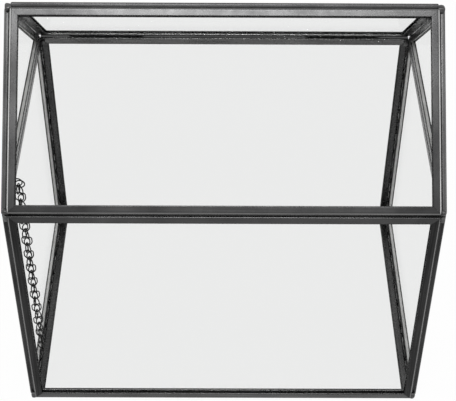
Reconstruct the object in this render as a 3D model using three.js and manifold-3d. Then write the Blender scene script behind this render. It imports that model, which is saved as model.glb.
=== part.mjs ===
// A house-shaped glass box: clear panes held in thin U-section metal cames, soldered into
// a body and a gable-roof lid. The lid swings on two small hinges along the back eave, and
// a slack chain inside the left end limits how far it opens.
// Millimetres, +Z up, +X along the ridge, the front wall faces -Y.
// The origin is on the table, under the centre of the whole object's box.

import * as THREE from 'three';
import { mergeVertices } from 'three/addons/utils/BufferGeometryUtils.js';
import Module from 'manifold-3d';

const wasm = await Module();
wasm.setup();

// Driving dimensions
const panelLength = 200;
const bodyDepth = 144;
const wallHeight = 133;
const roofPitch = THREE.MathUtils.degToRad(43);

// Came: the U-section strip round every pane
const cameFace = 4;
const cameThickness = 3;
const cameMetal = 0.5;
const mitreGap = 0.3;

// Glass panes
const glassThickness = 1.8;
const glassEdgeGap = 0.3;

// Lid: its inner eave corner rests on the rim, this far in from the outside of the wall
const eaveSeat = 1.6;
const rimGap = 0.4;
const ridgeGap = 0.3;

// Hinges: two sets of three knuckles on a wire pin
const knuckleRadius = 1.2;
const knuckleBore = 0.7;
const pinRadius = 0.6;
const knuckleLength = 12.6;
const knuckleGap = 0.4;
const pinOverrun = 1.2;
const hingeInset = 16.4;
const solderGap = 0.3;
const tubeSides = 24;
const knucklesPerHinge = 3;

// Chain: two strands of oval links, each hanging from a ring soldered inside the left rim
const linkWire = 0.6;
const linkLength = 6;
const linkWidth = 4.5;
const linkBite = 0.09;
const linkSteps = 12;
const linkSides = 5;
const ringRadius = 2.2;
const ringSteps = 24;
const ringSides = 6;
const tabWidth = 0.8;
const ringPlay = 0.1;
const chainFromFront = 20;
const strandSpacing = 5;
const chainAboveFloor = 12;

// Places worked out from the sizes above
const halfLength = panelLength / 2;
const rimHeight = cameThickness + wallHeight;
const eaveHeight = rimHeight + rimGap;
const insideDepth = bodyDepth - 2 * cameThickness;
const slopeRun = bodyDepth / 2 - eaveSeat;
const slopeLength = slopeRun / Math.cos(roofPitch);
const ridgeSetback = ridgeGap / 2 / Math.cos(roofPitch);
const eaveOverhang = cameThickness * Math.sin(roofPitch) - eaveSeat;
const hingeOffset = (knuckleRadius + solderGap) / Math.SQRT2;
const hingeOverhang = hingeOffset + knuckleRadius;
const frontY = -(bodyDepth + hingeOverhang - eaveOverhang) / 2;
const backY = frontY + bodyDepth;
const frontInside = frontY + cameThickness;
const backInside = backY - cameThickness;
const hingeY = backY + hingeOffset;
const hingeZ = rimHeight + hingeOffset;
const hingeLength = knucklesPerHinge * knuckleLength + (knucklesPerHinge - 1) * knuckleGap;
const ringStandOff = ringRadius + linkWire / 2 + solderGap;
const bodyRingZ = rimHeight - cameFace / 2;
const lidRingZ = eaveHeight + cameFace - tabWidth;
const linkPitch = linkLength - 2 * linkWire + linkBite;

// Finishes
const cameMetalFinish = new THREE.MeshStandardMaterial({ color: 0x3a3a3b, roughness: 0.45, metalness: 0.9 });
const glassFinish = new THREE.MeshStandardMaterial({
  color: 0xeef2f1, roughness: 0.03, metalness: 0, transparent: true, opacity: 0.3,
});
const hingeFinish = new THREE.MeshStandardMaterial({ color: 0x444446, roughness: 0.4, metalness: 0.9 });
const chainFinish = new THREE.MeshStandardMaterial({ color: 0x1d1d1e, roughness: 0.5, metalness: 0.8 });

function namedMesh(name, geometry, material) {
  const mesh = new THREE.Mesh(geometry, material);
  mesh.name = name;
  return mesh;
}

// Shapes: closed meshes built from a section, and solids joined from several of them

// A straight strip along +X with the given section in Y (inwards) and Z. Each end is cut
// square to the panel by a plane that leans at half the corner's angle, a mitre.
function mitredStrip(section, length, startHalfAngle, endHalfAngle) {
  const startAt = (d) => d / Math.tan(startHalfAngle) + mitreGap / 2 / Math.sin(startHalfAngle);
  const endAt = (d) => length - d / Math.tan(endHalfAngle) - mitreGap / 2 / Math.sin(endHalfAngle);
  const count = section.length;
  const positions = [];
  section.forEach((p) => positions.push(startAt(p.x), p.x, p.y));
  section.forEach((p) => positions.push(endAt(p.x), p.x, p.y));
  const index = [];
  for (let i = 0; i < count; i += 1) {
    const j = (i + 1) % count;
    index.push(i, i + count, j, j, i + count, j + count);
  }
  THREE.ShapeUtils.triangulateShape(section, []).forEach(([a, b, c]) => {
    index.push(a, b, c, c + count, b + count, a + count);
  });
  return flippedOutwards(positions, index);
}

// A closed mesh whose faces are turned to point outwards, from its signed volume.
function flippedOutwards(positions, index) {
  const geometry = new THREE.BufferGeometry();
  geometry.setAttribute('position', new THREE.Float32BufferAttribute(positions, 3));
  let volume = 0;
  const corner = (k) => new THREE.Vector3().fromArray(positions, 3 * index[k]);
  for (let k = 0; k < index.length; k += 3) {
    volume += corner(k).dot(corner(k + 1).cross(corner(k + 2)));
  }
  geometry.setIndex(volume < 0 ? [...index].reverse() : index);
  return geometry;
}

// The U section of a came: its web along the panel's edge, two flanges over the glass.
function cameSection() {
  const points = [
    [0, 0], [cameFace, 0], [cameFace, cameMetal], [cameMetal, cameMetal],
    [cameMetal, cameThickness - cameMetal], [cameFace, cameThickness - cameMetal],
    [cameFace, cameThickness], [0, cameThickness],
  ];
  return points.map(([x, y]) => new THREE.Vector2(x, y));
}

function toSolid(geometry) {
  const plain = geometry.clone();
  plain.deleteAttribute('normal');
  plain.deleteAttribute('uv');
  const merged = mergeVertices(plain);
  return new wasm.Manifold(new wasm.Mesh({
    numProp: 3,
    vertProperties: merged.attributes.position.array,
    triVerts: Uint32Array.from(merged.index.array),
  }));
}

function toGeometry(solid) {
  const mesh = solid.getMesh();
  const geometry = new THREE.BufferGeometry();
  geometry.setAttribute('position', new THREE.Float32BufferAttribute(mesh.vertProperties, 3));
  geometry.setIndex(Array.from(mesh.triVerts));
  return geometry;
}

function joined(geometries) {
  return toGeometry(geometries.map(toSolid).reduce((whole, next) => whole.add(next)));
}

// Panels: one pane of glass in its cames

// Interior half angle of the outline at each of its corners.
function cornerHalfAngles(outline) {
  const count = outline.length;
  return outline.map((corner, i) => {
    const toLast = outline[(i + count - 1) % count].clone().sub(corner);
    const toNext = outline[(i + 1) % count].clone().sub(corner);
    return Math.acos(toLast.normalize().dot(toNext.normalize())) / 2;
  });
}

// The outline drawn in by a distance, with its corners kept sharp.
function insetOutline(outline, distance) {
  const halfAngles = cornerHalfAngles(outline);
  const count = outline.length;
  return outline.map((corner, i) => {
    const toLast = outline[(i + count - 1) % count].clone().sub(corner).normalize();
    const toNext = outline[(i + 1) % count].clone().sub(corner).normalize();
    const inwards = toLast.add(toNext).normalize();
    return corner.clone().addScaledVector(inwards, distance / Math.sin(halfAngles[i]));
  });
}

// A pane and its mitred cames, drawn anticlockwise in the plane of across and up. The
// panel's inner face passes through origin, and its outer face is one thickness outside.
function framedPanel(name, edgeNames, outline, origin, across, up) {
  const panel = new THREE.Group();
  const halfAngles = cornerHalfAngles(outline);
  const section = cameSection();
  outline.forEach((corner, i) => {
    const next = (i + 1) % outline.length;
    const along = outline[next].clone().sub(corner);
    const strip = mitredStrip(section, along.length(), halfAngles[i], halfAngles[next]);
    const came = namedMesh(`${name}_${edgeNames[i]}_came`, strip, cameMetalFinish);
    came.position.set(corner.x, corner.y, 0);
    came.rotation.z = along.angle();
    panel.add(came);
  });
  const pane = new THREE.Shape(insetOutline(outline, cameMetal + glassEdgeGap));
  const glass = new THREE.ExtrudeGeometry(pane, { depth: glassThickness, bevelEnabled: false });
  const glassMesh = namedMesh(`${name}_glass`, glass, glassFinish);
  glassMesh.position.z = (cameThickness - glassThickness) / 2;
  panel.add(glassMesh);
  const outwards = across.clone().cross(up);
  panel.applyMatrix4(new THREE.Matrix4().makeBasis(across, up, outwards).setPosition(origin));
  return panel;
}

function rectangle(width, height) {
  return [[0, 0], [width, 0], [width, height], [0, height]].map(([x, y]) => new THREE.Vector2(x, y));
}

const toRight = new THREE.Vector3(1, 0, 0);
const toLeft = new THREE.Vector3(-1, 0, 0);
const toBack = new THREE.Vector3(0, 1, 0);
const toFront = new THREE.Vector3(0, -1, 0);
const upwards = new THREE.Vector3(0, 0, 1);

// Body: the inner edges of the four walls and the floor meet, so outside there is an open
// groove between every two panels
function bodyPanels() {
  const longWall = rectangle(panelLength, wallHeight);
  const endWall = rectangle(insideDepth, wallHeight);
  const floor = rectangle(panelLength, insideDepth);
  const risingRight = ['bottom', 'right', 'top', 'left'];
  const risingLeft = ['bottom', 'left', 'top', 'right'];
  const towardsBack = ['bottom', 'back', 'top', 'front'];
  const towardsFront = ['bottom', 'front', 'top', 'back'];
  const at = (x, y) => new THREE.Vector3(x, y, cameThickness);
  return [
    framedPanel('front', risingRight, longWall, at(-halfLength, frontInside), toRight, upwards),
    framedPanel('back', risingLeft, longWall, at(halfLength, backInside), toLeft, upwards),
    framedPanel('right', towardsBack, endWall, at(halfLength, frontInside), toBack, upwards),
    framedPanel('left', towardsFront, endWall, at(-halfLength, backInside), toFront, upwards),
    framedPanel('floor', ['back', 'right', 'front', 'left'], floor,
      at(-halfLength, backInside), toRight, toFront),
  ];
}

// Lid: two roof slopes between two gables, which also meet at their inner edges
function lidPanels() {
  const rise = Math.sin(roofPitch);
  const run = Math.cos(roofPitch);
  const upFront = new THREE.Vector3(0, run, rise);
  const upBack = new THREE.Vector3(0, -run, rise);
  const slope = rectangle(panelLength, slopeLength - ridgeSetback);
  const gableRise = slopeRun * Math.tan(roofPitch);
  const gable = [[0, 0], [2 * slopeRun, 0], [slopeRun, gableRise]].map(([x, y]) => new THREE.Vector2(x, y));
  const frontEave = frontY + eaveSeat;
  const backEave = backY - eaveSeat;
  const at = (x, y) => new THREE.Vector3(x, y, eaveHeight);
  return [
    framedPanel('roof_front', ['eave', 'right', 'ridge', 'left'], slope,
      at(-halfLength, frontEave), toRight, upFront),
    framedPanel('roof_back', ['eave', 'left', 'ridge', 'right'], slope,
      at(halfLength, backEave), toLeft, upBack),
    framedPanel('gable_right', ['base', 'back', 'front'], gable, at(halfLength, frontEave), toBack, upwards),
    framedPanel('gable_left', ['base', 'front', 'back'], gable, at(-halfLength, backEave), toFront, upwards),
  ];
}

// Hinges: tubes that nestle in the groove between the back wall and the lid's back eave

function tubeAlongX(outerRadius, innerRadius, length) {
  const profile = [
    [innerRadius, 0], [outerRadius, 0], [outerRadius, length], [innerRadius, length], [innerRadius, 0],
  ].map(([x, y]) => new THREE.Vector2(x, y));
  return new THREE.LatheGeometry(profile, tubeSides).rotateZ(-Math.PI / 2);
}

function pinAlongX(length) {
  return new THREE.CylinderGeometry(pinRadius, pinRadius, length, tubeSides).rotateZ(Math.PI / 2);
}

// One hinge from its left end: knuckles on the wall and on the lid in turn, and the pin.
function hinge(side, startX) {
  const set = new THREE.Group();
  const knuckleNames = [`hinge_${side}_wall_knuckle_1`, `hinge_${side}_lid_knuckle`, `hinge_${side}_wall_knuckle_2`];
  knuckleNames.forEach((name, i) => {
    const tube = tubeAlongX(knuckleRadius, knuckleBore, knuckleLength);
    const knuckle = namedMesh(name, tube, hingeFinish);
    knuckle.position.x = i * (knuckleLength + knuckleGap);
    set.add(knuckle);
  });
  const pin = namedMesh(`hinge_${side}_pin`, pinAlongX(hingeLength + 2 * pinOverrun), hingeFinish);
  pin.position.x = hingeLength / 2;
  set.add(pin);
  set.position.set(startX, hingeY, hingeZ);
  return set;
}

function hinges() {
  return [
    hinge('left', -halfLength + hingeInset),
    hinge('right', halfLength - hingeInset - hingeLength),
  ];
}

// Chain

// A tube whose centre line is closed: a section of a few sides carried round a path that
// lies in one plane.
function closedWire(pathPoint, steps, sides, radius) {
  const positions = [];
  const index = [];
  for (let i = 0; i < steps; i += 1) {
    const { centre, outwards, across } = pathPoint(i / steps);
    for (let k = 0; k < sides; k += 1) {
      const angle = (2 * Math.PI * k) / sides;
      const p = centre.clone()
        .addScaledVector(outwards, radius * Math.cos(angle))
        .addScaledVector(across, radius * Math.sin(angle));
      positions.push(p.x, p.y, p.z);
      const nextStep = ((i + 1) % steps) * sides;
      const nextSide = (k + 1) % sides;
      index.push(i * sides + k, nextStep + k, i * sides + nextSide);
      index.push(i * sides + nextSide, nextStep + k, nextStep + nextSide);
    }
  }
  return flippedOutwards(positions, index);
}

// An oval link standing in the YZ plane, centred on the origin: two straight sides and
// two half-round ends.
function ovalLink() {
  const endRadius = (linkWidth - linkWire) / 2;
  const halfStraight = (linkLength - linkWidth) / 2;
  const pathPoint = (share) => {
    const angle = 2 * Math.PI * (share + 1 / (2 * linkSteps));
    const outwards = new THREE.Vector3(0, Math.cos(angle), Math.sin(angle));
    const centre = outwards.clone().multiplyScalar(endRadius);
    centre.z += Math.sign(Math.sin(angle)) * halfStraight;
    return { centre, outwards, across: toRight };
  };
  return closedWire(pathPoint, linkSteps, linkSides, linkWire / 2);
}

// A round ring standing in the XZ plane, centred on the origin, with the solder tab that
// holds it to the came on its left.
function solderedRing() {
  const pathPoint = (share) => {
    const angle = 2 * Math.PI * share;
    const outwards = new THREE.Vector3(Math.cos(angle), 0, Math.sin(angle));
    return { centre: outwards.clone().multiplyScalar(ringRadius), outwards, across: toBack };
  };
  const ring = closedWire(pathPoint, ringSteps, ringSides, linkWire / 2);
  const tabReach = ringStandOff - ringRadius;
  const tab = new THREE.BoxGeometry(tabReach, tabWidth, tabWidth).translate(-ringRadius - tabReach / 2, 0, 0);
  return joined([ring, tab]);
}

// As many links as hang clear of the floor from a pivot at this height.
function linksBelow(pivotZ) {
  return Math.floor((pivotZ - cameThickness - chainAboveFloor) / linkPitch);
}

// A strand hanging from its pivot, the middle of the ring's wire, which is the origin.
// Links face sideways and forwards in turn and bite into each other where they touch.
function hangingStrand(linkCount) {
  const firstDrop = (linkLength - linkWire) / 2 - linkWire - ringPlay;
  const links = [];
  for (let i = 0; i < linkCount; i += 1) {
    const link = ovalLink();
    if (i % 2 === 1) {
      link.rotateZ(Math.PI / 2);
    }
    links.push(link.translate(0, 0, -firstDrop - i * linkPitch));
  }
  return joined(links);
}

// A ring on a rim and the strand that hangs from it. Its tab meets the rim's inner face.
function ringAndStrand(owner, y, ringZ) {
  const set = new THREE.Group();
  const ring = namedMesh(`chain_ring_${owner}`, solderedRing(), chainFinish);
  const strand = namedMesh(`chain_strand_${owner}`, hangingStrand(linksBelow(ringZ - ringRadius)), chainFinish);
  strand.position.z = -ringRadius;
  set.add(ring, strand);
  set.position.set(-halfLength + ringStandOff, y, ringZ);
  return set;
}

function chain() {
  const lidY = frontY + chainFromFront;
  return [
    ringAndStrand('lid', lidY, lidRingZ),
    ringAndStrand('body', lidY + strandSpacing, bodyRingZ),
  ];
}

const terrarium = new THREE.Group();
terrarium.add(...bodyPanels(), ...lidPanels(), ...hinges(), ...chain());

export default terrarium;
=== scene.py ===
import math

import bpy
import numpy as np
from mathutils import Matrix


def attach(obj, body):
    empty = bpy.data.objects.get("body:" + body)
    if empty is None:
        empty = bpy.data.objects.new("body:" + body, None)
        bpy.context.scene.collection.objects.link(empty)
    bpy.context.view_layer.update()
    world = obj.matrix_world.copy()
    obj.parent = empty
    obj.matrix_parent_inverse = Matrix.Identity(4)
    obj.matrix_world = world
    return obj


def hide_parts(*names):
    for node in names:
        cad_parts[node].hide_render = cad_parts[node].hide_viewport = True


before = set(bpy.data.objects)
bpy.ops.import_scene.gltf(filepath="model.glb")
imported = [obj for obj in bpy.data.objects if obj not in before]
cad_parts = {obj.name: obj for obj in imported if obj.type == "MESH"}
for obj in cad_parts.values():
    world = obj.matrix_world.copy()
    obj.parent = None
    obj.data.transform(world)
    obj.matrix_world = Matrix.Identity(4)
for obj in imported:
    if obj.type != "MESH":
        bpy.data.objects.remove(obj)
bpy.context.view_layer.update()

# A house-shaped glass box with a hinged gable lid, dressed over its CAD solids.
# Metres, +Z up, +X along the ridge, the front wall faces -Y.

mm = 0.001

# Sizes of the box, the same as its solids have
panel_length = 200 * mm
body_depth = 144 * mm
wall_height = 133 * mm
roof_pitch = math.radians(43)
came_face = 4 * mm
came_thickness = 3 * mm
came_metal = 0.5 * mm
eave_seat = 1.6 * mm
rim_gap = 0.4 * mm
ridge_gap = 0.3 * mm
knuckle_radius = 1.2 * mm
knuckle_bore = 0.7 * mm
pin_radius = 0.6 * mm
knuckle_length = 12.6 * mm
knuckle_gap = 0.4 * mm
pin_overrun = 1.2 * mm
hinge_inset = 16.4 * mm
solder_gap = 0.3 * mm
hinge_knuckles = ("wall_knuckle_1", "lid_knuckle", "wall_knuckle_2")
link_wire = 0.6 * mm
link_length = 6 * mm
link_width = 4.5 * mm
link_bite = 0.09 * mm
lid_links = 25
body_links = 23
ring_radius = 2.2 * mm
ring_play = 0.1 * mm
tab_width = 0.8 * mm
chain_from_front = 20 * mm
strand_spacing = 5 * mm

# Places worked out from the sizes
half_length = panel_length / 2
rim_height = came_thickness + wall_height
eave_height = rim_height + rim_gap
inside_depth = body_depth - 2 * came_thickness
slope_run = body_depth / 2 - eave_seat
slope_length = slope_run / math.cos(roof_pitch)
gable_rise = slope_run * math.tan(roof_pitch)
ridge_setback = ridge_gap / 2 / math.cos(roof_pitch)
eave_overhang = came_thickness * math.sin(roof_pitch) - eave_seat
hinge_offset = (knuckle_radius + solder_gap) / math.sqrt(2)
front_y = -(body_depth + hinge_offset + knuckle_radius - eave_overhang) / 2
back_y = front_y + body_depth
front_inside = front_y + came_thickness
back_inside = back_y - came_thickness
ridge_y = (front_y + back_y) / 2
ridge_z = eave_height + gable_rise
hinge_y = back_y + hinge_offset
hinge_z = rim_height + hinge_offset
hinge_length = (len(hinge_knuckles) * knuckle_length
                + (len(hinge_knuckles) - 1) * knuckle_gap)
ring_stand_off = ring_radius + link_wire / 2 + solder_gap
ring_x = ring_stand_off - half_length
link_pitch = link_length - 2 * link_wire + link_bite

# Details that only the dressed pieces have
web_rounding = 0.85 * mm
visible_mitre_gap = 0.08 * mm
flat_margin = 0.5 * mm
grime_width = 0.6 * mm
sealant_reach = 3.3 * mm
sealant_sag = 0.25 * mm
sealed_panels = ("left", "right", "gable_left", "gable_right")
knuckle_rounding = 0.15 * mm
link_turn_most = math.radians(12)
link_turn_seed = 7
strand_twist = {"lid": math.radians(-14), "body": math.radians(38)}

# Solder beads: each wave is a count in the bead's length and its shift from bead to bead
bead_radius = 0.47 * mm
bead_depth = 0.42 * mm
bead_end_room = 1.2 * mm
bead_swell = 0.03
bead_waves = ((7, 0.37), (17, 0.61))

# Solder blobs: their shape, then the radii and place of each kind. A blob's number shifts
# its waves
blob_squareness = 0.7
blob_swell = 0.09
blob_shifts = (1.7, 2.9)
body_blob_radii = (1.3 * mm, 1.3 * mm, 1.9 * mm)
body_blob_out = 0.9 * mm
low_blob_lift = 0.4 * mm
rim_blob_drop = 2.5 * mm
inside_blob_radii = (1.3 * mm, 1.1 * mm, 1.5 * mm)
inside_blob_inset = 1 * mm
inside_blob_drop = 2.2 * mm
inside_blob_number_shift = 4
lid_blob_out = 1 * mm
ridge_blob_radii = (1.7 * mm, 2.2 * mm, 1.5 * mm)
ridge_blob_lift = 0.5 * mm
eave_blob_radii = (1.4 * mm, 1.3 * mm, 1.3 * mm)
eave_blob_out = 0.4 * mm
eave_blob_lift = 2 * mm
ring_blob_radii = (0.75 * mm, 1.0 * mm, 1.0 * mm)
ring_blob_inset = 0.25 * mm
ring_blob_number = 3

# How finely the surfaces are divided
strip_shares = np.array([0, 0.02, 0.06, 0.15, 0.3, 0.5, 0.7, 0.85, 0.94, 0.98, 1])
sag_steps = 7
bead_steps = 90
bead_sides = 12
blob_rings = 17
blob_sides = 32
tube_corner_steps = 4
tube_sides = 40
pin_steps = 400
pin_sides = 20
link_steps = 28
link_sides = 10
ring_steps = 48
ring_sides = 12

# Rods: how blunt their very ends are, and how steep a rod has to be for its round section
# to be laid out from +X and not from +Z
blunt_share = 0.02
steep_share = 0.9

# Angles above which an edge is shown sharp
usual_crease = math.radians(40)
round_crease = math.radians(80)

# Rubbing, partly real and partly painted sheen, at even steps round a corner of a came, and round
# the lip of its channel; a corner's painted shade is least where these are high
corner_shares = np.array([0, 0.8, 1, 1, 1, 0.6, 0])
lip_shares = np.array([0, 0, 0.5, 1, 1])

# How each came has worn, and where light is painted on it: shares rubbed bare at its corners,
# on its two faces, on its web and in its channel, partly real rubbing and partly painted sheen,
# then the dirt by its lips, and the painted shade over its web and outer face
usual_wear_and_painted_light = {"outer_corner": 0.1, "inner_corner": 0.1, "outer_face": 0, "inner_face": 0,
                     "web": 0, "channel": 0.02, "lips": 0.75, "painted_shade": 0}
# Painted light in this table: the shade entries paint shade on the front eave rail, the back ridge
# web and the front uprights and strips, and the large corner, face, web and channel entries lighten
# cames as painted sheen
special_wear_and_painted_light = {
    "roof_front_left": {"outer_corner": 1, "outer_face": 0.03},
    "roof_front_right": {"outer_corner": 1},
    "roof_front_ridge": {"outer_corner": 0.25, "outer_face": 0.02},
    "roof_front_eave": {"outer_corner": 0.35, "web": 0.2, "painted_shade": 0.35},
    "roof_back_ridge": {"painted_shade": 0.45},
    "gable_left_front": {"web": 0.03},
    "gable_right_front": {"web": 0.12},
    "front_left": {"outer_corner": 0.4, "painted_shade": 0.75},
    "front_right": {"outer_corner": 0.4, "painted_shade": 0.75},
    "left_front": {"outer_corner": 0, "painted_shade": 0.6},
    "right_front": {"outer_corner": 0, "painted_shade": 0.6},
    "front_top": {"outer_corner": 0, "outer_face": 0.04, "lips": 0.5},
    "front_bottom": {"outer_corner": 0.3, "outer_face": 0.16, "channel": 0.6, "lips": 0},
    "floor_front": {"inner_face": 0.15, "lips": 0},
    "floor_left": {"inner_face": 0.08, "inner_corner": 0.5, "lips": 0.3},
    "floor_right": {"inner_face": 0.12, "inner_corner": 0.4, "lips": 0.2},
    "left_bottom": {"inner_face": 0.2, "inner_corner": 0.3, "channel": 0.3, "lips": 0.1},
    "right_bottom": {"inner_face": 0.25, "inner_corner": 0.3, "channel": 0.3, "lips": 0.1},
    "back_top": {"outer_corner": 0.3, "inner_face": 0.26, "web": 0.1, "lips": 0.3},
    "back_left": {"inner_corner": 0.4, "inner_face": 0.05},
    "back_right": {"inner_corner": 0.4, "inner_face": 0.05},
    "left_back": {"inner_corner": 0.4, "inner_face": 0.15, "channel": 0.3, "lips": 0.2},
    "right_back": {"inner_corner": 0.4, "inner_face": 0.15, "channel": 0.3, "lips": 0.2},
    "roof_back_eave": {"inner_face": 0.2, "inner_corner": 0.2, "channel": 0.3, "lips": 0},
    "roof_back_left": {"inner_face": 0.07},
    "roof_back_right": {"inner_face": 0.07},
    "gable_left_back": {"inner_face": 0.08, "inner_corner": 0.3},
    "gable_right_back": {"inner_face": 0.08, "inner_corner": 0.3},
}

# Finishes. A range is the low and high of what goes in and of what comes out, and a noise is
# its detail and roughness
# Bare metal is the colour of real rubbing and of painted sheen alike, and the grime colour that of
# dirt by the lips and of painted shade
bare_metal_and_sheen = (0.42, 0.418, 0.415)
grime_and_shade_colour = (0.006, 0.006, 0.006)
metal_fleck_scale = 260
fine_lines = {"Lines per mm": 4, "Stretch": 0.03}
wear_streaks = {"Lines per mm": 1.3, "Stretch": 0.02}
cloud_noise = (3, 0.6)
fleck_noise = (4, 0.65)
line_noise = (3, 0.6)
cloud_range = (0.3, 0.7, 0, 1)
fleck_range = (0.35, 0.7, 0, 1)
streak_range = (0.35, 0.65, 0.45, 1.1)
relief_depth = 0.05 * mm
sealant_low = (0.62, 0.62, 0.61)
sealant_high = (0.82, 0.82, 0.81)
sealant_clouds = {"Patch scale": 120, "Fleck scale": 700}
sealant_roughness = 0.7
sealant_relief = 0.2
glass_tint = (0.915, 0.918, 0.916)
glass_shadow = (0.957, 0.958, 0.957)
glass_bend = 1.01
glass_wave_noise = (1, 0.4)
glass_wave_scale = 14
glass_relief = 0.02
glass_clouds = {"Patch scale": 35, "Fleck scale": 220}
glass_mark_range = (0.6, 1, 0, 0.003)

# Stage, world and lamps. A lamp's azimuth (0 in front, turning to the right) and elevation
# are in degrees, its distance, width and height in metres and its power in watts
shadow_share = 0.03
floor_half_width = 6
floor_grey = 0.86
floor_roughness = 0.9
world_grey = 0.3
lamp_target = np.array([0, 0, 100 * mm])
lamp_rows = (
    ("key softbox", -4, 66.3, 1.1, 0.5, 0.22, 5.6),
    ("front fill", 0, 52, 1.1, 1.2, 0.4, 0.5),
    ("left softbox", -68, 30, 1.2, 0.9, 0.7, 3),
    ("right softbox", 68, 30, 1.2, 0.9, 0.7, 3),
)

# Camera, fitted to the edges in the photograph
image_width = 456
focal_pixels = 1249.98
sensor_width = 36
pitch = math.radians(42.852)
roll = math.radians(-0.439)
yaw = math.radians(0.359)
camera_place = np.array([-0.891, -489.41, 533.263]) * mm

to_right = np.array([1.0, 0.0, 0.0])
to_back = np.array([0.0, 1.0, 0.0])
upwards = np.array([0.0, 0.0, 1.0])
both_sides = ((-1, "left"), (1, "right"))
both_ends = ((-1, "front"), (1, "back"))


# Meshes

def grid_faces(rows, columns, closed_rows, closed_columns):
    """Four corner numbers of every cell of a grid whose points are numbered row by row.
    A closed direction wraps round to its first row or column."""
    row = np.arange(rows if closed_rows else rows - 1)[:, None]
    column = np.arange(columns if closed_columns else columns - 1)[None, :]
    next_row = (row + 1) % rows
    next_column = (column + 1) % columns
    corners = [
        row * columns + column,
        row * columns + next_column,
        next_row * columns + next_column,
        next_row * columns + column,
    ]
    return np.stack(corners, axis=-1).reshape(-1, 4)


def new_piece(name, body, points, faces, finish, stands_for=(), crease=usual_crease):
    """A piece from its points and faces, riding on a CAD body and taking its finish."""
    mesh = bpy.data.meshes.new(name)
    mesh.from_pydata(points.reshape(-1, 3).tolist(), [], [list(face) for face in faces])
    mesh.polygons.foreach_set("use_smooth", [True] * len(mesh.polygons))
    mesh.set_sharp_from_angle(angle=crease)
    mesh.materials.append(finish)
    mesh.validate()
    piece = bpy.data.objects.new(name, mesh)
    bpy.context.scene.collection.objects.link(piece)
    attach(piece, body)
    if stands_for:
        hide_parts(*stands_for)
    return piece


def add_surface_map(piece, along, around):
    """A UV map in millimetres along and around the piece, one value for each face corner."""
    layer = piece.data.uv_layers.new(name="surface")
    values = np.stack([along, around], axis=-1) / mm
    layer.data.foreach_set("uv", values.astype(np.float32).ravel())


def add_mark(piece, name, values):
    """A point attribute from 0 to 1 that a finish reads, one value for each point."""
    attribute = piece.data.attributes.new(name, "FLOAT", "POINT")
    attribute.data.foreach_set("value", values.astype(np.float32))


def joined_parts(parts):
    """One array of points and one of faces from several pairs of them."""
    points = [part_points.reshape(-1, 3) for part_points, _ in parts]
    starts = np.cumsum([0] + [len(part) for part in points[:-1]])
    faces = [part_faces + start for (_, part_faces), start in zip(parts, starts)]
    return np.concatenate(points), np.concatenate(faces)


def turns(count, shift=0):
    """Angles at even steps round a full circle, moved on by a share of a step."""
    return 2 * math.pi * (np.arange(count) + shift) / count


def arc(centre, radius, first_degrees, last_degrees, steps):
    """Points round part of a circle, at even angles."""
    angle = np.radians(np.linspace(first_degrees, last_degrees, steps))
    return np.array(centre) + radius * np.stack([np.cos(angle), np.sin(angle)], axis=-1)


# Cames: a U section carried along each edge of a pane

def came_section(wear_and_painted_light):
    """The came's closed outline as (inwards, outwards) from its edge on the inner face: a
    web with two rounded corners, two flanges and their rolled lips. The second value is
    how far each place is rubbed bare and lightened as painted sheen, the third how much dirt
    sits by the lips and in the channel and how much painted shade lies on the web and outer face."""
    lip = came_metal / 2
    outer = web_rounding
    round_steps = len(corner_shares)
    lip_steps = len(lip_shares)
    flat_start = outer + flat_margin
    flat_end = came_face - grime_width
    inner_lip = came_thickness - lip
    # The rub shares lighten as painted sheen as well as real wear, and the corner grime is painted
    # shade, held back at each corner's crest
    inner_rub_and_sheen = np.maximum(wear_and_painted_light["inner_corner"] * corner_shares,
                           np.linspace(wear_and_painted_light["web"], wear_and_painted_light["inner_face"], round_steps))
    outer_rub_and_sheen = np.maximum(wear_and_painted_light["outer_corner"] * corner_shares[::-1],
                           np.linspace(wear_and_painted_light["outer_face"], wear_and_painted_light["web"], round_steps))
    corner_painted_shade = wear_and_painted_light["painted_shade"] * (1 - corner_shares)
    lip_grime = np.full(lip_steps, wear_and_painted_light["lips"])
    lip_rub_and_sheen = wear_and_painted_light["channel"] * lip_shares
    pair = np.ones(2)
    pieces = [
        (arc((outer, outer), outer, 180, 270, round_steps), inner_rub_and_sheen, corner_painted_shade),
        (np.array([[flat_start, 0], [flat_end, 0]]), wear_and_painted_light["inner_face"] * pair, 0 * pair),
        (arc((came_face - lip, lip), lip, -90, 90, lip_steps), lip_rub_and_sheen, lip_grime),
        (np.array([[came_metal, came_metal], [came_metal, came_thickness - came_metal]]),
         wear_and_painted_light["channel"] * pair, wear_and_painted_light["lips"] * pair),
        (arc((came_face - lip, inner_lip), lip, -90, 90, lip_steps), lip_rub_and_sheen[::-1], lip_grime),
        (np.array([[flat_end, came_thickness], [flat_start, came_thickness]]),
         wear_and_painted_light["outer_face"] * pair, wear_and_painted_light["painted_shade"] * pair),
        (arc((outer, came_thickness - outer), outer, 90, 180, round_steps), outer_rub_and_sheen,
         corner_painted_shade[::-1]),
    ]
    return [np.concatenate(values) for values in zip(*pieces)]


def carried_section(outline, start, edge_directions, length, half_angles):
    """The outline carried from start along an edge. Each of its points runs from the mitre
    plane at one end to the mitre plane at the other, planes that lean at half the corner's
    angle. Gives how far along each point is, the points, and the faces of the sides and of
    the two ends."""
    along, inwards, outwards = edge_directions
    inset, height = outline.T
    first_half, last_half = half_angles
    gap = visible_mitre_gap / 2
    first = inset / math.tan(first_half) + gap / math.sin(first_half)
    last = length - inset / math.tan(last_half) - gap / math.sin(last_half)
    travel = first + (last - first) * strip_shares[:, None]
    points = (start + travel[..., None] * along + inset[:, None] * inwards
              + height[:, None] * outwards)
    loop = np.arange(len(outline))
    ends = [loop[::-1], loop + travel.size - len(outline)]
    return travel, points, grid_faces(*travel.shape, False, True), ends


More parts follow.
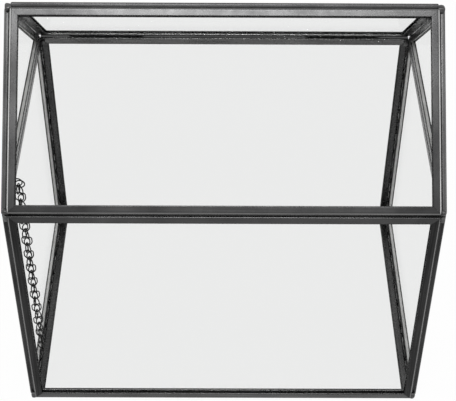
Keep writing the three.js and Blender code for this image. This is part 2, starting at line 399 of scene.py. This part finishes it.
def sealant_strip(name, body, start, edge_directions, length, half_angles):
    """The cloudy sealant that holds a pane in its channel: a rectangle between the flanges
    whose open side sags in a shallow parabola."""
    gap = came_metal + visible_mitre_gap
    across = np.linspace(gap, came_thickness - gap, sag_steps)
    middle = came_thickness / 2
    sag = sealant_sag * (1 - ((across - middle) / middle) ** 2)
    open_side = np.stack([sealant_reach - sag, across], axis=-1)
    outline = np.concatenate([[[gap, gap]], open_side, [[gap, came_thickness - gap]]])
    _, points, sides, ends = carried_section(outline, start, edge_directions, length, half_angles)
    new_piece(name, body, points, [*sides, *ends], sealant_finish)


def mitred_came(name, body, start, edge_directions, length, half_angles):
    """A came's section carried along an edge of the pane, with both ends closed."""
    outline, rubbed_and_sheen, grime_and_shade = came_section({**usual_wear_and_painted_light, **special_wear_and_painted_light.get(name, {})})
    travel, points, sides, ends = carried_section(outline, start, edge_directions, length,
                                                  half_angles)
    piece = new_piece(f"{name}_strip", body, points, [*sides, *ends], came_finish,
                      (f"{name}_came",))
    rows, columns = travel.shape
    steps = np.linalg.norm(np.roll(outline, -1, axis=0) - outline, axis=1)
    around = np.concatenate([[0], np.cumsum(steps)])
    side_around = around[sides % columns]
    side_around[:, 1:3] = around[(sides[:, [0, 3]] % columns) + 1]
    end_points = np.concatenate(ends)
    add_surface_map(piece, travel.ravel()[np.concatenate([sides.ravel(), end_points])],
                    np.concatenate([side_around.ravel(), around[end_points % columns]]))
    add_mark(piece, "rubbed_and_sheen", np.tile(rubbed_and_sheen, rows))
    add_mark(piece, "grime_and_shade", np.tile(grime_and_shade, rows))


def corner_half_angles(outline):
    """Half the angle inside the outline at each of its corners."""
    to_last = np.roll(outline, 1, axis=0) - outline
    to_next = np.roll(outline, -1, axis=0) - outline
    lengths = np.linalg.norm(to_last, axis=1) * np.linalg.norm(to_next, axis=1)
    return np.arccos((to_last * to_next).sum(axis=1) / lengths) / 2


def framed_panel(name, body, edge_names, outline, origin, across, up):
    """The cames round one pane. The outline runs anticlockwise in the plane of across and
    up, and the inner face passes through origin."""
    outline = np.array(outline, float)
    outwards = np.cross(across, up)
    halves = corner_half_angles(outline)
    for i, edge in enumerate(edge_names):
        following = (i + 1) % len(edge_names)
        edge_vector = outline[following] - outline[i]
        length = np.linalg.norm(edge_vector)
        direction = edge_vector / length
        start = origin + outline[i][0] * across + outline[i][1] * up
        along = direction[0] * across + direction[1] * up
        edge_directions = (along, np.cross(outwards, along), outwards)
        course = (start, edge_directions, length, (halves[i], halves[following]))
        mitred_came(f"{name}_{edge}", body, *course)
        if name in sealed_panels:
            sealant_strip(f"{name}_{edge}_sealant", body, *course)


def rectangle(width, height):
    return [(0, 0), (width, 0), (width, height), (0, height)]


def body_panels():
    """The four walls and the floor. Each wall's edges are named from the bottom one on, in
    the order in which its outline runs, and the floor's from the back one on."""
    rising_right = ("bottom", "right", "top", "left")
    rising_left = ("bottom", "left", "top", "right")
    towards_back = ("bottom", "back", "top", "front")
    towards_front = ("bottom", "front", "top", "back")
    long_wall = rectangle(panel_length, wall_height)
    end_wall = rectangle(inside_depth, wall_height)
    floor = rectangle(panel_length, inside_depth)
    front_left = np.array([-half_length, front_inside, came_thickness])
    back_right = np.array([half_length, back_inside, came_thickness])
    front_right = np.array([half_length, front_inside, came_thickness])
    back_left = np.array([-half_length, back_inside, came_thickness])
    framed_panel("front", "root", rising_right, long_wall, front_left, to_right, upwards)
    framed_panel("back", "root", rising_left, long_wall, back_right, -to_right, upwards)
    framed_panel("right", "root", towards_back, end_wall, front_right, to_back, upwards)
    framed_panel("left", "root", towards_front, end_wall, back_left, -to_back, upwards)
    framed_panel("floor", "root", ("back", "right", "front", "left"), floor, back_left,
                 to_right, -to_back)


def lid_panels():
    """The two slopes, which lean in to the ridge, and the two gable triangles."""
    up_front = math.cos(roof_pitch) * to_back + math.sin(roof_pitch) * upwards
    up_back = -math.cos(roof_pitch) * to_back + math.sin(roof_pitch) * upwards
    slope = rectangle(panel_length, slope_length - ridge_setback)
    gable = [(0, 0), (2 * slope_run, 0), (slope_run, gable_rise)]
    front_eave = front_y + eave_seat
    back_eave = back_y - eave_seat
    framed_panel("roof_front", "lid", ("eave", "right", "ridge", "left"), slope,
                 np.array([-half_length, front_eave, eave_height]), to_right, up_front)
    framed_panel("roof_back", "lid", ("eave", "left", "ridge", "right"), slope,
                 np.array([half_length, back_eave, eave_height]), -to_right, up_back)
    framed_panel("gable_right", "lid", ("base", "back", "front"), gable,
                 np.array([half_length, front_eave, eave_height]), to_back, upwards)
    framed_panel("gable_left", "lid", ("base", "front", "back"), gable,
                 np.array([-half_length, back_eave, eave_height]), -to_back, upwards)


# Solder: a bead in the bottom of each groove between two panels, a blob on each corner

def closed_rows(points, first_pole, last_pole):
    """Rows of points that run round, closed by a pole before the first row and another
    after the last one."""
    rows, columns = points.shape[:2]
    number = np.arange(columns)
    following = (number + 1) % columns
    last_row = (rows - 1) * columns
    pole = np.full(columns, rows * columns)
    faces = [
        *grid_faces(rows, columns, False, True),
        *np.stack([following, number, pole], axis=-1),
        *np.stack([last_row + number, last_row + following, pole + 1], axis=-1),
    ]
    return np.concatenate([points.reshape(-1, 3), [first_pole], [last_pole]]), faces


def round_rod(start, end, radius_at, steps, sides):
    """A closed rod from start to end. Its radius at each share of the length is
    radius_at(share), and it comes to a point at both ends."""
    share = np.linspace(0, 1, steps)
    along = end - start
    direction = along / np.linalg.norm(along)
    side = np.cross(direction, upwards if abs(direction[2]) < steep_share else to_right)
    side /= np.linalg.norm(side)
    other = np.cross(direction, side)
    angle = turns(sides)
    ring = np.cos(angle)[:, None] * side + np.sin(angle)[:, None] * other
    middle = start + share[:, None] * along
    points = middle[:, None, :] + radius_at(share)[:, None, None] * ring
    return closed_rows(points, start, end)


def solder_bead(name, body, start, end, number):
    """A bead of solder. Its radius is bead_radius * (1 + bead_swell * the sum of a few sine
    waves along it), and falls away at both ends as a circle does."""
    end_share = bead_radius / np.linalg.norm(end - start)

    def radius_at(share):
        waves = sum(np.sin(2 * math.pi * (count * share + shift * number))
                    for count, shift in bead_waves)
        from_end = np.minimum(share, 1 - share) / end_share
        rounding = np.sqrt(np.clip(from_end * (2 - from_end), blunt_share, 1))
        rounding = np.where(from_end > 1, 1, rounding)
        return bead_radius * (1 + bead_swell * waves) * rounding

    points, faces = round_rod(start, end, radius_at, bead_steps, bead_sides)
    new_piece(name, body, points, faces, groove_shaded_solder)


def squared(wave):
    """A sine or cosine raised to a power below 1, which makes a round section squarer."""
    return np.sign(wave) * np.abs(wave) ** blob_squareness


def solder_blob(name, body, centre, radii, number):
    """A lump of solder: an ellipsoid with poles above and below, squared off by raising
    its sines and cosines to a power, then swollen and sunk by two low waves round it."""
    polar = math.pi * np.arange(1, blob_rings + 1)[:, None] / (blob_rings + 1)
    turn = turns(blob_sides)[None, :]
    first_shift, second_shift = blob_shifts
    waves = (np.sin(2 * turn + first_shift * number) * np.sin(2 * polar)
             + np.sin(3 * turn + second_shift * number) * np.sin(polar) ** 2)
    swell = 1 + blob_swell * waves
    directions = np.stack([
        squared(np.sin(polar)) * squared(np.cos(turn)) * swell,
        squared(np.sin(polar)) * squared(np.sin(turn)) * swell,
        squared(np.cos(polar)) * np.ones_like(turn),
    ], axis=-1)
    rise = radii[2] * upwards
    points, faces = closed_rows(centre + directions * np.array(radii), centre + rise, centre - rise)
    faces = [face[::-1] for face in faces]
    new_piece(name, body, points, faces, solder_finish, crease=round_crease)


def groove_beads():
    """Beads along the lines where the panels' inner edges meet."""
    out = bead_depth
    floor_z = came_thickness - out
    low = came_thickness - bead_end_room
    high = rim_height - bead_end_room
    slope_out = out * math.sin(roof_pitch)
    rise_out = out * math.cos(roof_pitch)
    walls = ((front_inside - out, "front"), (back_inside + out, "back"))
    beads = []
    for side, side_name in both_sides:
        x = side * (half_length + out)
        for y, end_name in walls:
            beads.append((f"{end_name}_{side_name}_seam", "root", (x, y, low), (x, y, high)))
        beads.append((f"floor_{side_name}_seam", "root",
                      (x, front_inside, floor_z), (x, back_inside, floor_z)))
    for y, end_name in walls:
        beads.append((f"floor_{end_name}_seam", "root",
                      (-half_length, y, floor_z), (half_length, y, floor_z)))
    beads.append(("ridge_seam", "lid", (-half_length, ridge_y, ridge_z + out),
                  (half_length, ridge_y, ridge_z + out)))
    for side, side_name in both_sides:
        x = side * (half_length + out)
        for end, end_name in both_ends:
            eave = (x, ridge_y + end * (slope_run + slope_out), eave_height + rise_out + rim_gap)
            ridge = (x, ridge_y + end * slope_out, ridge_z + rise_out)
            beads.append((f"gable_{side_name}_{end_name}_seam", "lid", eave, ridge))
    for number, (name, body, start, end) in enumerate(beads):
        solder_bead(name, body, np.array(start), np.array(end), number)


def body_blobs():
    """A blob on each corner of the body's rim and floor, and inside the back corners."""
    walls = ((front_inside - body_blob_out, "front"), (back_inside + body_blob_out, "back"))
    levels = ((came_thickness + low_blob_lift, "low"), (rim_height - rim_blob_drop, "rim"))
    number = 0
    for side, side_name in both_sides:
        x = side * (half_length + body_blob_out)
        for y, end_name in walls:
            for z, level in levels:
                number += 1
                solder_blob(f"corner_{end_name}_{side_name}_{level}", "root",
                            np.array([x, y, z]), body_blob_radii, number)
        inside = np.array([side * (half_length - inside_blob_inset),
                           back_inside - inside_blob_inset, rim_height - inside_blob_drop])
        solder_blob(f"corner_inside_{side_name}", "root", inside, inside_blob_radii,
                    number + inside_blob_number_shift)
    return number


def lid_blobs(number):
    """A blob at each end of the ridge and of the eaves, numbered on from the last one."""
    for side, side_name in both_sides:
        x = side * (half_length + lid_blob_out)
        number += 1
        solder_blob(f"corner_ridge_{side_name}", "lid",
                    np.array([x, ridge_y, ridge_z + ridge_blob_lift]), ridge_blob_radii, number)
        for end, end_name in both_ends:
            y = ridge_y + end * (slope_run + eave_blob_out)
            number += 1
            solder_blob(f"corner_eave_{end_name}_{side_name}", "lid",
                        np.array([x, y, eave_height + eave_blob_lift]), eave_blob_radii, number)


# Hinges

def turned_tube(start, length, outer, inner, rounding):
    """A tube along X: a closed section, the wall with its four corners rounded off, turned
    about the tube's axis."""
    section = np.concatenate([
        arc((rounding, outer - rounding), rounding, 180, 90, tube_corner_steps),
        arc((length - rounding, outer - rounding), rounding, 90, 0, tube_corner_steps),
        arc((length - rounding, inner + rounding), rounding, 0, -90, tube_corner_steps),
        arc((rounding, inner + rounding), rounding, -90, -180, tube_corner_steps),
    ])
    angle = turns(tube_sides)
    travel, radius = section.T
    points = np.stack([
        np.broadcast_to(travel, (tube_sides, len(travel))),
        np.cos(angle)[:, None] * radius,
        np.sin(angle)[:, None] * radius,
    ], axis=-1) + start
    return points, grid_faces(tube_sides, len(travel), True, True)


def hinge(side_name, start_x):
    """Knuckles in a row on one wire pin, whose radius falls away at both ends as a circle
    does and leaves them domed."""
    for i, kind in enumerate(hinge_knuckles):
        name = f"hinge_{side_name}_{kind}"
        body = "lid" if kind.startswith("lid") else "root"
        start = np.array([start_x + i * (knuckle_length + knuckle_gap), hinge_y, hinge_z])
        points, faces = turned_tube(start, knuckle_length, knuckle_radius, knuckle_bore,
                                    knuckle_rounding)
        new_piece(f"{name}_tube", body, points, faces, hinge_finish, (name,))
    pin_length = hinge_length + 2 * pin_overrun
    start = np.array([start_x - pin_overrun, hinge_y, hinge_z])
    end_share = pin_radius / pin_length

    def radius_at(share):
        from_end = np.clip(np.minimum(share, 1 - share) / end_share, blunt_share, 1)
        return pin_radius * np.sqrt(from_end * (2 - from_end))

    points, faces = round_rod(start, start + pin_length * to_right, radius_at, pin_steps, pin_sides)
    new_piece(f"hinge_{side_name}_wire", "root", points, faces, hinge_finish,
              (f"hinge_{side_name}_pin",))


# Chain

def closed_wire(centres, outwards, across, radius, sides):
    """A round wire whose centre line is closed: a circle in the plane of outwards and
    across at each of its centres."""
    angle = turns(sides)
    points = (centres[:, None, :] + radius * np.cos(angle)[None, :, None] * outwards[:, None, :]
              + radius * np.sin(angle)[None, :, None] * across)
    return points, grid_faces(len(centres), sides, True, True)


def oval_link(turn, centre):
    """A link turned about its upright axis. Its centre line is a circle whose upper and
    lower halves are moved apart, which leaves two straight sides between them."""
    angle = turns(link_steps, shift=0.5)
    sideways = np.array([math.cos(turn), math.sin(turn), 0])
    across = np.array([-math.sin(turn), math.cos(turn), 0])
    outwards = np.cos(angle)[:, None] * sideways + np.sin(angle)[:, None] * upwards
    end_radius = (link_width - link_wire) / 2
    half_straight = (link_length - link_width) / 2
    centres = (centre + end_radius * outwards
               + np.sign(np.sin(angle))[:, None] * half_straight * upwards)
    return closed_wire(centres, outwards, across, link_wire / 2, link_sides)


def strand(owner, y, ring_z, link_count, generator):
    """Links hanging from the ring, facing sideways and forwards in turn, each a few
    degrees off."""
    first_drop = (link_length - link_wire) / 2 - link_wire - ring_play
    pivot = np.array([ring_x, y, ring_z - ring_radius])
    parts = []
    for i in range(link_count):
        turn = (strand_twist[owner] + (math.pi / 2 if i % 2 == 0 else 0)
                + generator.uniform(-link_turn_most, link_turn_most))
        parts.append(oval_link(turn, pivot - upwards * (first_drop + i * link_pitch)))
    points, faces = joined_parts(parts)
    new_piece(f"chain_links_{owner}", f"chain_{owner}", points, faces, chain_finish,
              (f"chain_strand_{owner}",), crease=round_crease)


def chain_ring(owner, body, y, ring_z):
    """A round ring facing forwards and the drop of solder that holds it to the came."""
    angle = turns(ring_steps)
    outwards = np.cos(angle)[:, None] * to_right + np.sin(angle)[:, None] * upwards
    centre = np.array([ring_x, y, ring_z])
    points, faces = closed_wire(centre + ring_radius * outwards, outwards, to_back,
                                link_wire / 2, ring_sides)
    new_piece(f"chain_loop_{owner}", body, points, faces, chain_finish,
              (f"chain_ring_{owner}",), crease=round_crease)
    drop = np.array([ring_blob_inset - half_length, y, ring_z])
    solder_blob(f"chain_drop_{owner}", body, drop, ring_blob_radii, ring_blob_number)


def chain():
    """Both rings, then the strand that hangs from each."""
    generator = np.random.default_rng(link_turn_seed)
    lid_y = front_y + chain_from_front
    body_y = lid_y + strand_spacing
    lid_ring_z = eave_height + came_face - tab_width
    body_ring_z = rim_height - came_face / 2
    chain_ring("lid", "lid", lid_y, lid_ring_z)
    chain_ring("body", "root", body_y, body_ring_z)
    strand("lid", lid_y, lid_ring_z, lid_links, generator)
    strand("body", body_y, body_ring_z, body_links, generator)


# Shader nodes

def noise_node(nodes, detail, roughness):
    node = nodes.new("ShaderNodeTexNoise")
    node.inputs["Detail"].default_value = detail
    node.inputs["Roughness"].default_value = roughness
    return node


def math_node(nodes, operation, second=None):
    node = nodes.new("ShaderNodeMath")
    node.operation = operation
    if second is not None:
        node.inputs[1].default_value = second
    return node


def range_node(nodes, from_low, from_high, to_low, to_high):
    node = nodes.new("ShaderNodeMapRange")
    node.inputs["From Min"].default_value = from_low
    node.inputs["From Max"].default_value = from_high
    node.inputs["To Min"].default_value = to_low
    node.inputs["To Max"].default_value = to_high
    return node


def colour_mix(nodes, low, high):
    node = nodes.new("ShaderNodeMix")
    node.data_type = "RGBA"
    node.inputs["A"].default_value = (*low, 1)
    node.inputs["B"].default_value = (*high, 1)
    return node


def place_group(nodes, group, values):
    node = nodes.new("ShaderNodeGroup")
    node.node_tree = group
    for socket_name, value in values.items():
        node.inputs[socket_name].default_value = value
    return node


# Shader groups: effects that more than one finish uses

def new_group(name, inputs, outputs):
    """A shader node group whose inputs and outputs are numbers, known by their names."""
    group = bpy.data.node_groups.new(name, "ShaderNodeTree")
    for direction, socket_names in (("INPUT", inputs), ("OUTPUT", outputs)):
        for socket_name in socket_names:
            group.interface.new_socket(socket_name, in_out=direction,
                                       socket_type="NodeSocketFloat")
    nodes = group.nodes
    return group, nodes, group.links, nodes.new("NodeGroupInput"), nodes.new("NodeGroupOutput")


def tarnish_group():
    """Cloudy change of colour: large soft patches broken by small ones."""
    group, nodes, links, given, result = new_group(
        "tarnish", ("Patch scale", "Fleck scale"), ("Clouds", "Flecks"))
    coordinates = nodes.new("ShaderNodeTexCoord")
    effects = (("Patch scale", cloud_noise, cloud_range, "Clouds"),
               ("Fleck scale", fleck_noise, fleck_range, "Flecks"))
    for scale_name, noise, contrast, result_name in effects:
        patches = noise_node(nodes, *noise)
        clearer = range_node(nodes, *contrast)
        links.new(coordinates.outputs["Object"], patches.inputs["Vector"])
        links.new(given.outputs[scale_name], patches.inputs["Scale"])
        links.new(patches.outputs["Fac"], clearer.inputs["Value"])
        links.new(clearer.outputs["Result"], result.inputs[result_name])
    return group


def drawn_grain_group():
    """Fine lines along a drawn strip: noise on the surface map, stretched along the strip."""
    group, nodes, links, given, result = new_group(
        "drawn grain", ("Lines per mm", "Stretch"), ("Lines",))
    surface = nodes.new("ShaderNodeUVMap")
    surface.uv_map = "surface"
    parts = nodes.new("ShaderNodeSeparateXYZ")
    stretched = math_node(nodes, "MULTIPLY")
    packed = nodes.new("ShaderNodeCombineXYZ")
    lines = noise_node(nodes, *line_noise)
    links.new(surface.outputs["UV"], parts.inputs["Vector"])
    links.new(parts.outputs["X"], stretched.inputs[0])
    links.new(given.outputs["Stretch"], stretched.inputs[1])
    links.new(stretched.outputs["Value"], packed.inputs["X"])
    links.new(parts.outputs["Y"], packed.inputs["Y"])
    links.new(packed.outputs["Vector"], lines.inputs["Vector"])
    links.new(given.outputs["Lines per mm"], lines.inputs["Scale"])
    links.new(lines.outputs["Fac"], result.inputs["Lines"])
    return group


def mark_group():
    """Wear, dirt and painted light from a came's two marks: where the finish is rubbed thin,
    partly for real and partly as painted sheen, in streaks along the strip, and where dirt
    sits by the lips and painted shade lies over the web and outer face."""
    group, nodes, links, given, result = new_group(
        "marks", ("Streaks", "Rubbing and sheen", "Grime and shade"), ("Rubbed and sheen", "Grimed and shaded"))
    broken = range_node(nodes, *streak_range)
    links.new(given.outputs["Streaks"], broken.inputs["Value"])
    for mark_name, amount_name, result_name in (("rubbed_and_sheen", "Rubbing and sheen", "Rubbed and sheen"),
                                                ("grime_and_shade", "Grime and shade", "Grimed and shaded")):
        mark = nodes.new("ShaderNodeAttribute")
        mark.attribute_name = mark_name
        strength = math_node(nodes, "MULTIPLY")
        amount = math_node(nodes, "MULTIPLY")
        links.new(broken.outputs["Result"], strength.inputs[0])
        links.new(mark.outputs["Fac"], strength.inputs[1])
        links.new(strength.outputs["Value"], amount.inputs[0])
        links.new(given.outputs[amount_name], amount.inputs[1])
        links.new(amount.outputs["Value"], result.inputs[result_name])
    return group


# Finishes

def new_finish(name):
    material = bpy.data.materials.new(name)
    material.use_nodes = True
    nodes, links = material.node_tree.nodes, material.node_tree.links
    return material, nodes, links, nodes["Principled BSDF"]


def add_relief(nodes, links, height, strength, shader):
    """A fine relief on the shader, as high as the given output says."""
    bump = nodes.new("ShaderNodeBump")
    bump.inputs["Strength"].default_value = strength
    bump.inputs["Distance"].default_value = relief_depth
    links.new(height, bump.inputs["Height"])
    links.new(bump.outputs["Normal"], shader.inputs["Normal"])


def show_mixed(nodes, links, share, first, second):
    """Shows the first shader where the share is 0 and the second where it is 1."""
    mix = nodes.new("ShaderNodeMixShader")
    links.new(share, mix.inputs["Fac"])
    links.new(first, mix.inputs[1])
    links.new(second, mix.inputs[2])
    links.new(mix.outputs["Shader"], nodes["Material Output"].inputs["Surface"])


def dark_metal(name, dark, light, metallic, roughness_range, relief_strength, clouds_scale,
               fleck_height=1):
    """Blackened metal: clouds from dark to light, edges rubbed to bare metal, partly for real and
    partly as painted sheen, dirt and painted shade from the came's marks, and a roughness and
    a fine relief from grain and flecks."""
    material, nodes, links, shader = new_finish(name)
    tarnish = place_group(nodes, groups["tarnish"],
                          {"Patch scale": clouds_scale, "Fleck scale": metal_fleck_scale})
    grain = place_group(nodes, groups["grain"], fine_lines)
    streaks = place_group(nodes, groups["grain"], wear_streaks)
    marks = place_group(nodes, groups["marks"], {"Rubbing and sheen": 1, "Grime and shade": 1})
    links.new(streaks.outputs["Lines"], marks.inputs["Streaks"])
    colour = colour_mix(nodes, dark, light)
    # The bare colour comes in as real rubbing and painted sheen, the grime colour as dirt by the
    # lips and painted shade
    worn_and_sheened = colour_mix(nodes, dark, bare_metal_and_sheen)
    grimy_and_shaded = colour_mix(nodes, dark, grime_and_shade_colour)
    links.new(tarnish.outputs["Clouds"], colour.inputs["Factor"])
    links.new(colour.outputs["Result"], worn_and_sheened.inputs["A"])
    links.new(marks.outputs["Rubbed and sheen"], worn_and_sheened.inputs["Factor"])
    links.new(worn_and_sheened.outputs["Result"], grimy_and_shaded.inputs["A"])
    links.new(marks.outputs["Grimed and shaded"], grimy_and_shaded.inputs["Factor"])
    links.new(grimy_and_shaded.outputs["Result"], shader.inputs["Base Color"])
    roughness = range_node(nodes, 0, 1, *roughness_range)
    links.new(tarnish.outputs["Flecks"], roughness.inputs["Value"])
    links.new(roughness.outputs["Result"], shader.inputs["Roughness"])
    relief = math_node(nodes, "MULTIPLY_ADD", fleck_height)
    links.new(tarnish.outputs["Flecks"], relief.inputs[0])
    links.new(grain.outputs["Lines"], relief.inputs[2])
    add_relief(nodes, links, relief.outputs["Value"], relief_strength, shader)
    shader.inputs["Metallic"].default_value = metallic
    return material


def cloudy_sealant():
    """Pale matt sealant, cloudy, with a fine relief."""
    material, nodes, links, shader = new_finish("cloudy sealant")
    tarnish = place_group(nodes, groups["tarnish"], sealant_clouds)
    colour = colour_mix(nodes, sealant_low, sealant_high)
    links.new(tarnish.outputs["Clouds"], colour.inputs["Factor"])
    links.new(colour.outputs["Result"], shader.inputs["Base Color"])
    shader.inputs["Roughness"].default_value = sealant_roughness
    add_relief(nodes, links, tarnish.outputs["Flecks"], sealant_relief, shader)
    return material


def passes_straight(nodes, links):
    """1 for shadows and for rays that come off the metal or the floor, 0 for all others."""
    path = nodes.new("ShaderNodeLightPath")
    bounced = math_node(nodes, "MAXIMUM")
    reflected = math_node(nodes, "SUBTRACT")
    unbent = math_node(nodes, "MAXIMUM")
    links.new(path.outputs["Is Glossy Ray"], bounced.inputs[0])
    links.new(path.outputs["Is Diffuse Ray"], bounced.inputs[1])
    links.new(bounced.outputs["Value"], reflected.inputs[0])
    links.new(path.outputs["Is Transmission Ray"], reflected.inputs[1])
    links.new(reflected.outputs["Value"], unbent.inputs[0])
    links.new(path.outputs["Is Shadow Ray"], unbent.inputs[1])
    return unbent.outputs["Value"]


def clear_glass():
    """Float glass: a faint waviness and faint marks of handling. Shadows, and whatever the
    metal reflects, pass straight through it with a slight tint."""
    material, nodes, links, shader = new_finish("clear float glass")
    shader.inputs["Base Color"].default_value = (*glass_tint, 1)
    shader.inputs["Metallic"].default_value = 0
    shader.inputs["Transmission Weight"].default_value = 1
    shader.inputs["IOR"].default_value = glass_bend
    coordinates = nodes.new("ShaderNodeTexCoord")
    waves = noise_node(nodes, *glass_wave_noise)
    waves.inputs["Scale"].default_value = glass_wave_scale
    links.new(coordinates.outputs["Object"], waves.inputs["Vector"])
    add_relief(nodes, links, waves.outputs["Fac"], glass_relief, shader)
    tarnish = place_group(nodes, groups["tarnish"], glass_clouds)
    marks = range_node(nodes, *glass_mark_range)
    links.new(tarnish.outputs["Flecks"], marks.inputs["Value"])
    links.new(marks.outputs["Result"], shader.inputs["Roughness"])
    lets_through = nodes.new("ShaderNodeBsdfTransparent")
    lets_through.inputs["Color"].default_value = (*glass_shadow, 1)
    show_mixed(nodes, links, passes_straight(nodes, links), shader.outputs["BSDF"],
               lets_through.outputs["BSDF"])
    return material


def finish_cad_glass():
    """The panes keep their solids and get the glass."""
    for name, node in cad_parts.items():
        if name.endswith("_glass"):
            node.data.materials.clear()
            node.data.materials.append(glass_finish)


# Stage, lamps and camera

def looked_at(nodes, links):
    """1 for what the camera sees, through glass and in reflections too, and 0 for the light
    that falls on things."""
    path = nodes.new("ShaderNodeLightPath")
    seen = math_node(nodes, "MAXIMUM")
    seen_or_mirrored = math_node(nodes, "MAXIMUM")
    links.new(path.outputs["Is Camera Ray"], seen.inputs[0])
    links.new(path.outputs["Is Transmission Ray"], seen.inputs[1])
    links.new(seen.outputs["Value"], seen_or_mirrored.inputs[0])
    links.new(path.outputs["Is Glossy Ray"], seen_or_mirrored.inputs[1])
    return seen_or_mirrored.outputs["Value"]


def floor_finish():
    """White to whatever looks at it, with a share left to the light that falls on it so
    that the box keeps its shadow."""
    material, nodes, links, shader = new_finish("white sweep")
    shader.inputs["Base Color"].default_value = (floor_grey, floor_grey, floor_grey, 1)
    shader.inputs["Roughness"].default_value = floor_roughness
    shader.inputs["Specular IOR Level"].default_value = 0
    white = nodes.new("ShaderNodeEmission")
    kept = math_node(nodes, "MULTIPLY", 1 - shadow_share)
    links.new(looked_at(nodes, links), kept.inputs[0])
    show_mixed(nodes, links, kept.outputs["Value"], shader.outputs["BSDF"],
               white.outputs["Emission"])
    return material


def stage():
    """A wide flat floor."""
    mesh = bpy.data.meshes.new("floor_sweep")
    half = floor_half_width
    mesh.from_pydata([(-half, -half, 0), (half, -half, 0), (half, half, 0), (-half, half, 0)], [],
                     [(0, 1, 2, 3)])
    mesh.materials.append(floor_finish())
    floor = bpy.data.objects.new("floor_sweep", mesh)
    bpy.context.scene.collection.objects.link(floor)


def world_light():
    """An even grey all round, white to whatever looks at it."""
    world = bpy.data.worlds.new("studio")
    bpy.context.scene.world = world
    world.use_nodes = True
    nodes, links = world.node_tree.nodes, world.node_tree.links
    background = nodes["Background"]
    strength = range_node(nodes, 0, 1, world_grey, 1)
    links.new(looked_at(nodes, links), strength.inputs["Value"])
    links.new(strength.outputs["Result"], background.inputs["Strength"])
    background.inputs["Color"].default_value = (1, 1, 1, 1)


def place(thing, at, side, up, back):
    """Puts a lamp or camera at a place, with its own x, y and z along side, up and back."""
    thing.matrix_world = Matrix([
        [side[0], up[0], back[0], at[0]],
        [side[1], up[1], back[1], at[1]],
        [side[2], up[2], back[2], at[2]],
        [0, 0, 0, 1],
    ])
    bpy.context.scene.collection.objects.link(thing)


def lamp(name, azimuth, elevation, distance, width, height, power):
    """A rectangular soft lamp that faces the lamps' target."""
    light = bpy.data.lights.new(name, "AREA")
    light.shape = "RECTANGLE"
    light.size = width
    light.size_y = height
    light.energy = power
    turn = math.radians(azimuth)
    lift = math.radians(elevation)
    back = np.array([math.sin(turn) * math.cos(lift), -math.cos(turn) * math.cos(lift),
                     math.sin(lift)])
    side = np.array([math.cos(turn), math.sin(turn), 0])
    place(bpy.data.objects.new(name, light), lamp_target + distance * back, side,
          np.cross(back, side), back)


def camera():
    """The photograph's view: a fitted place, pitch, roll and yaw, and a lens from the
    fitted focal length in pixels."""
    data = bpy.data.cameras.new("camera")
    data.sensor_width = sensor_width
    data.lens = focal_pixels * sensor_width / image_width
    forwards = np.array([math.sin(yaw) * math.cos(pitch), math.cos(yaw) * math.cos(pitch),
                         -math.sin(pitch)])
    level = np.array([math.cos(yaw), -math.sin(yaw), 0])
    down = np.cross(forwards, level)
    side = math.cos(roll) * level + math.sin(roll) * down
    low = -math.sin(roll) * level + math.cos(roll) * down
    viewer = bpy.data.objects.new("camera", data)
    place(viewer, camera_place, side, -low, -forwards)
    bpy.context.scene.camera = viewer


# The finishes, then the whole scene

groups = {"tarnish": tarnish_group(), "grain": drawn_grain_group(), "marks": mark_group()}
came_finish = dark_metal("black patina on the cames", dark=(0.024, 0.024, 0.0245),
                         light=(0.062, 0.062, 0.0625), metallic=0.9, roughness_range=(0.25, 0.31),
                         relief_strength=0.03, clouds_scale=30, fleck_height=0.1)
solder_finish = dark_metal("blackened solder", dark=(0.035, 0.035, 0.0355),
                           light=(0.12, 0.12, 0.12), metallic=0.9, roughness_range=(0.25, 0.4),
                           relief_strength=0.1, clouds_scale=300)
# The solder in the grooves is a darker copy of the blackened solder: painted shade in the grooves
groove_shaded_solder = dark_metal("solder in the grooves, darkened as painted shade", dark=(0.008, 0.008, 0.008),
                           light=(0.02, 0.02, 0.02), metallic=0.9, roughness_range=(0.3, 0.45),
                           relief_strength=0.06, clouds_scale=200)
hinge_finish = dark_metal("dark hinge tube", dark=(0.03, 0.03, 0.031), light=(0.06, 0.06, 0.06),
                          metallic=0.9, roughness_range=(0.3, 0.42), relief_strength=0.15,
                          clouds_scale=200)
chain_finish = dark_metal("black chain", dark=(0.01, 0.01, 0.01), light=(0.02, 0.02, 0.02),
                          metallic=0.8, roughness_range=(0.35, 0.5), relief_strength=0.1,
                          clouds_scale=300)
glass_finish = clear_glass()
sealant_finish = cloudy_sealant()

camera()
body_panels()
lid_panels()
groove_beads()
last_number = body_blobs()
lid_blobs(last_number)
hinge("left", -half_length + hinge_inset)
hinge("right", half_length - hinge_inset - hinge_length)
chain()
finish_cad_glass()
stage()
world_light()
for row in lamp_rows:
    lamp(*row)

bpy.context.scene.view_settings.view_transform = "Standard"
